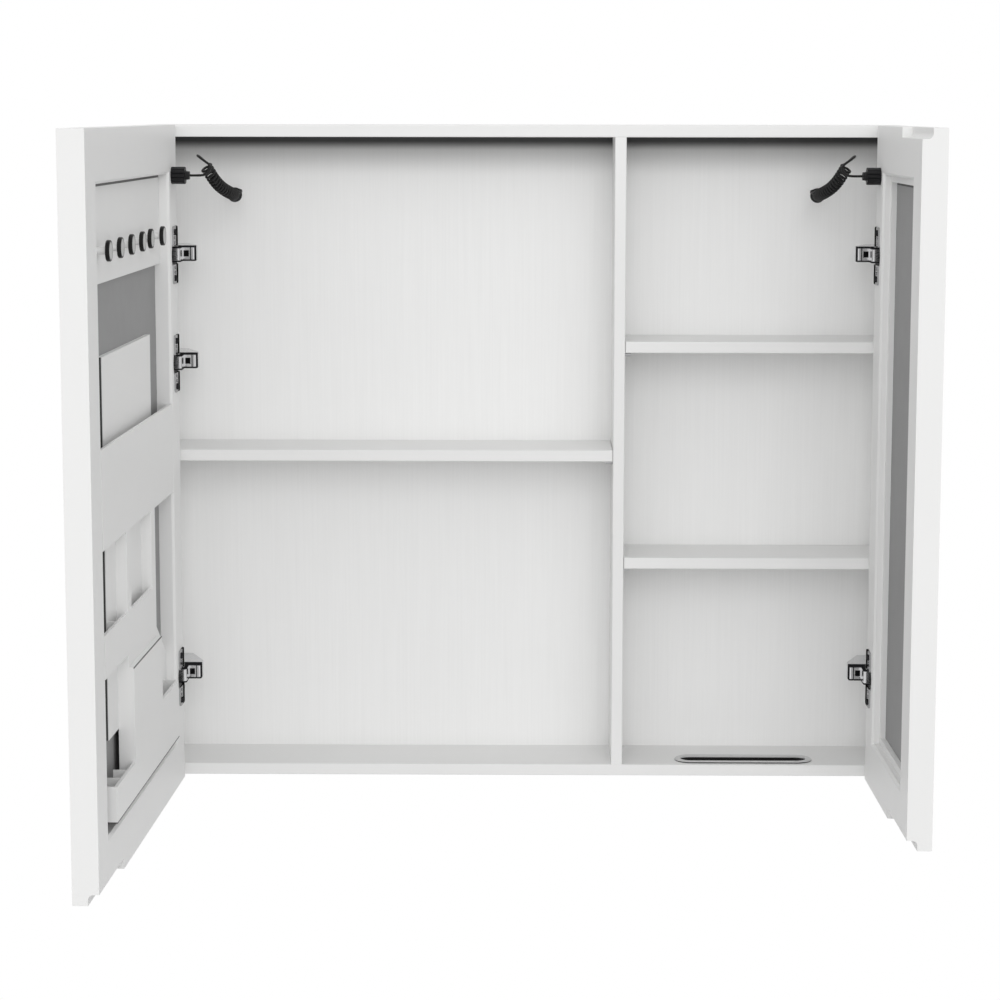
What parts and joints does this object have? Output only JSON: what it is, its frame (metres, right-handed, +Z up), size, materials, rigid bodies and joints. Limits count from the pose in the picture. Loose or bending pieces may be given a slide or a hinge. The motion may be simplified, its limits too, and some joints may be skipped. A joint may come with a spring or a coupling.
{
  "type": "medicine cabinet",
  "caption": "White wall cabinet with framed mirror doors standing open, shelves, a door organizer with hooks and niches, cup hinges and curly leads to the doors.",
  "frame": {"origin": "on the wall plane, midway between the entry holes of the two keyhole hangers", "axes": "+X to the right along the wall as seen from the room, +Y into the wall, +Z up"},
  "size_m": [0.8101, 0.611, 0.7],
  "materials": {
    "white_board": "white satin paint",
    "white_panel": "white satin laminate",
    "mirror": "silvered glass",
    "grey_backing": "matt grey paint",
    "hinge_chrome": "nickel plate",
    "steel": "zinc plate",
    "black_plastic": "matt black",
    "lead": "matt black",
    "bezel": "satin grey"
  },
  "bodies": {
    "cabinet": {"back_panel": "white_panel", "bottom_panel": "white_board", "divider": "white_board", "grommets": "black_plastic", "hanging_rail": "white_board", "hinge_plates": "hinge_chrome", "left_hinge_arm_1": "hinge_chrome", "left_hinge_arm_2": "hinge_chrome", "left_hinge_arm_3": "hinge_chrome", "left_lead": "lead", "left_shelf": "white_board", "left_side": "white_board", "lower_rail": "white_board", "lower_right_shelf": "white_board", "plate_screws": "steel", "right_hinge_arm_1": "hinge_chrome", "right_hinge_arm_2": "hinge_chrome", "right_lead": "lead", "right_side": "white_board", "shelf_pins": "steel", "tissue_bezel": "bezel", "top_panel": "white_board", "upper_right_shelf": "white_board", "wall_hangers": "steel"},
    "left_door": {"hook_board": "white_board", "hooks": "black_plastic", "left_cup_screws": "steel", "left_door_bottom_rail": "white_board", "left_door_free_stile": "white_board", "left_door_hinge_stile": "white_board", "left_door_top_rail": "white_board", "left_hinge_cup_1": "hinge_chrome", "left_hinge_cup_2": "hinge_chrome", "left_hinge_cup_3": "hinge_chrome", "left_hinge_pins": "steel", "left_lead_gland": "black_plastic", "left_mirror": "mirror", "left_mirror_backing": "grey_backing", "organizer_fascia": "white_board", "organizer_ledge": "white_board", "organizer_long_strip": "white_board", "organizer_middle_rail": "white_board", "organizer_panel": "white_board", "organizer_short_strip": "white_board", "organizer_slot_board": "white_board", "organizer_slot_floor": "white_board", "organizer_top_board": "white_board", "tube_rack": "white_board"},
    "right_door": {"right_cup_screws": "steel", "right_door_bottom_rail": "white_board", "right_door_free_stile": "white_board", "right_door_hinge_stile": "white_board", "right_door_top_rail": "white_board", "right_hinge_cup_1": "hinge_chrome", "right_hinge_cup_2": "hinge_chrome", "right_hinge_pins": "steel", "right_lead_gland": "black_plastic", "right_mirror": "mirror", "right_mirror_backing": "grey_backing", "right_mirror_bead": "white_board"}
  },
  "joints": [
    {"name": "left_door_hinge", "type": "hinge", "parent": "cabinet", "child": "left_door", "pos_m": [-0.38475, -0.128, 0], "axis": [0, 0, -1], "range_deg": [-92, 8], "deforming": ["left_lead"]},
    {"name": "right_door_hinge", "type": "hinge", "parent": "cabinet", "child": "right_door", "pos_m": [0.38475, -0.128, 0], "axis": [0, 0, 1], "range_deg": [-91, 9], "deforming": ["right_lead"]}
  ]
}
